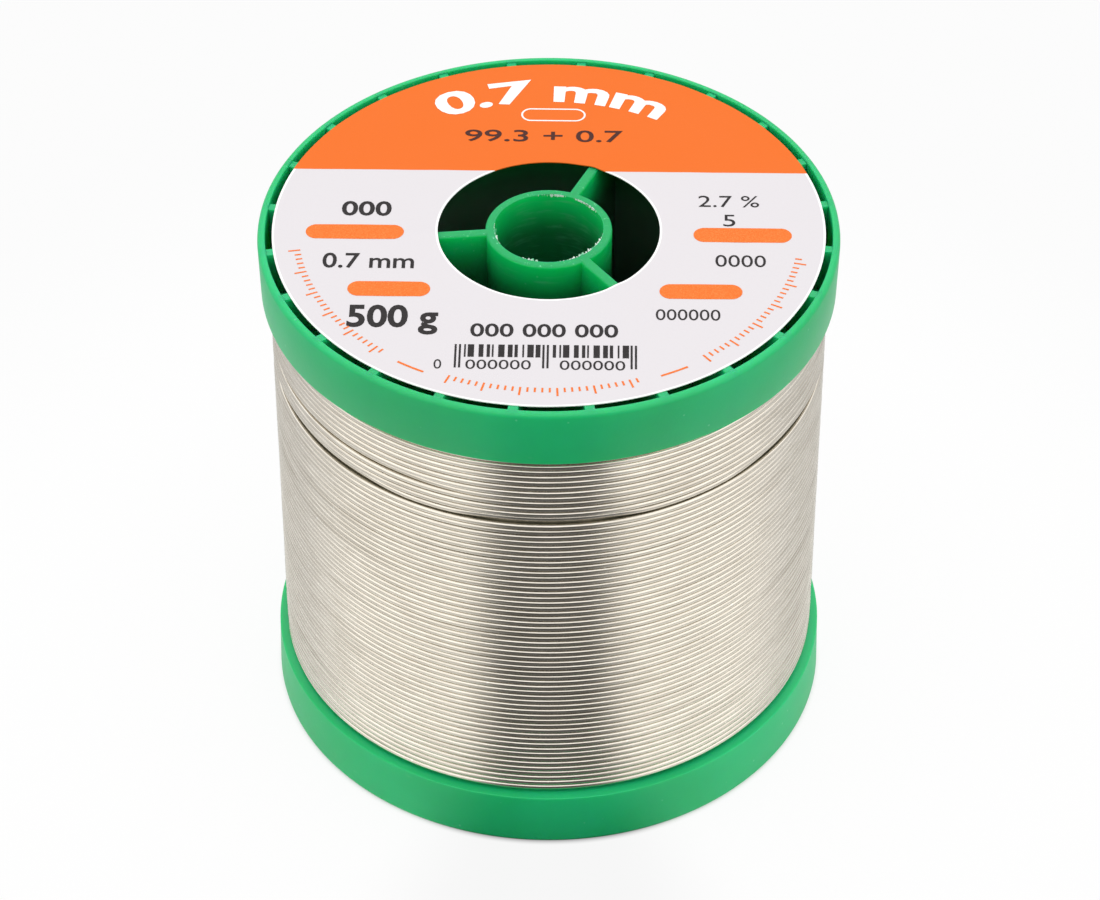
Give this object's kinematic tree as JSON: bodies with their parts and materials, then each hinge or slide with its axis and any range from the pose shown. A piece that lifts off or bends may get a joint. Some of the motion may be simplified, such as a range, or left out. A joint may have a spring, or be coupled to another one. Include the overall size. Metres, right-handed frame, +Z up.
{
  "type": "solder wire spool",
  "caption": "Plastic spool of flux-cored solder wire with ribbed flanges, a webbed centre tube and a paper ring label.",
  "frame": {"origin": "on the spool's axis, in the plane that the lower flange rests on", "axes": "+Z up along the spool's axis, towards the labelled flange; +X to the right as the label is read, +Y towards its top edge"},
  "size_m": [0.063, 0.063, 0.063],
  "materials": {
    "green_plastic": "satin",
    "label_paper": "coated paper",
    "solder_wire": "satin tin alloy"
  },
  "bodies": {
    "root": {"core_profile": "green_plastic", "upper_flange": "green_plastic", "lower_flange": "green_plastic", "label": "label_paper", "wire_layer_01": "solder_wire", "wire_layer_02": "solder_wire", "wire_layer_03": "solder_wire", "wire_layer_04": "solder_wire", "wire_layer_05": "solder_wire", "wire_layer_06": "solder_wire", "wire_layer_07": "solder_wire", "wire_layer_08": "solder_wire", "wire_layer_09": "solder_wire", "wire_layer_10": "solder_wire", "wire_layer_11": "solder_wire", "wire_layer_12": "solder_wire", "wire_layer_13": "solder_wire", "wire_layer_14": "solder_wire", "wire_layer_15": "solder_wire", "wire_layer_16": "solder_wire", "wire_layer_17": "solder_wire", "wire_layer_18": "solder_wire", "wire_layer_19": "solder_wire", "wire_layer_20": "solder_wire"}
  },
  "joints": []
}
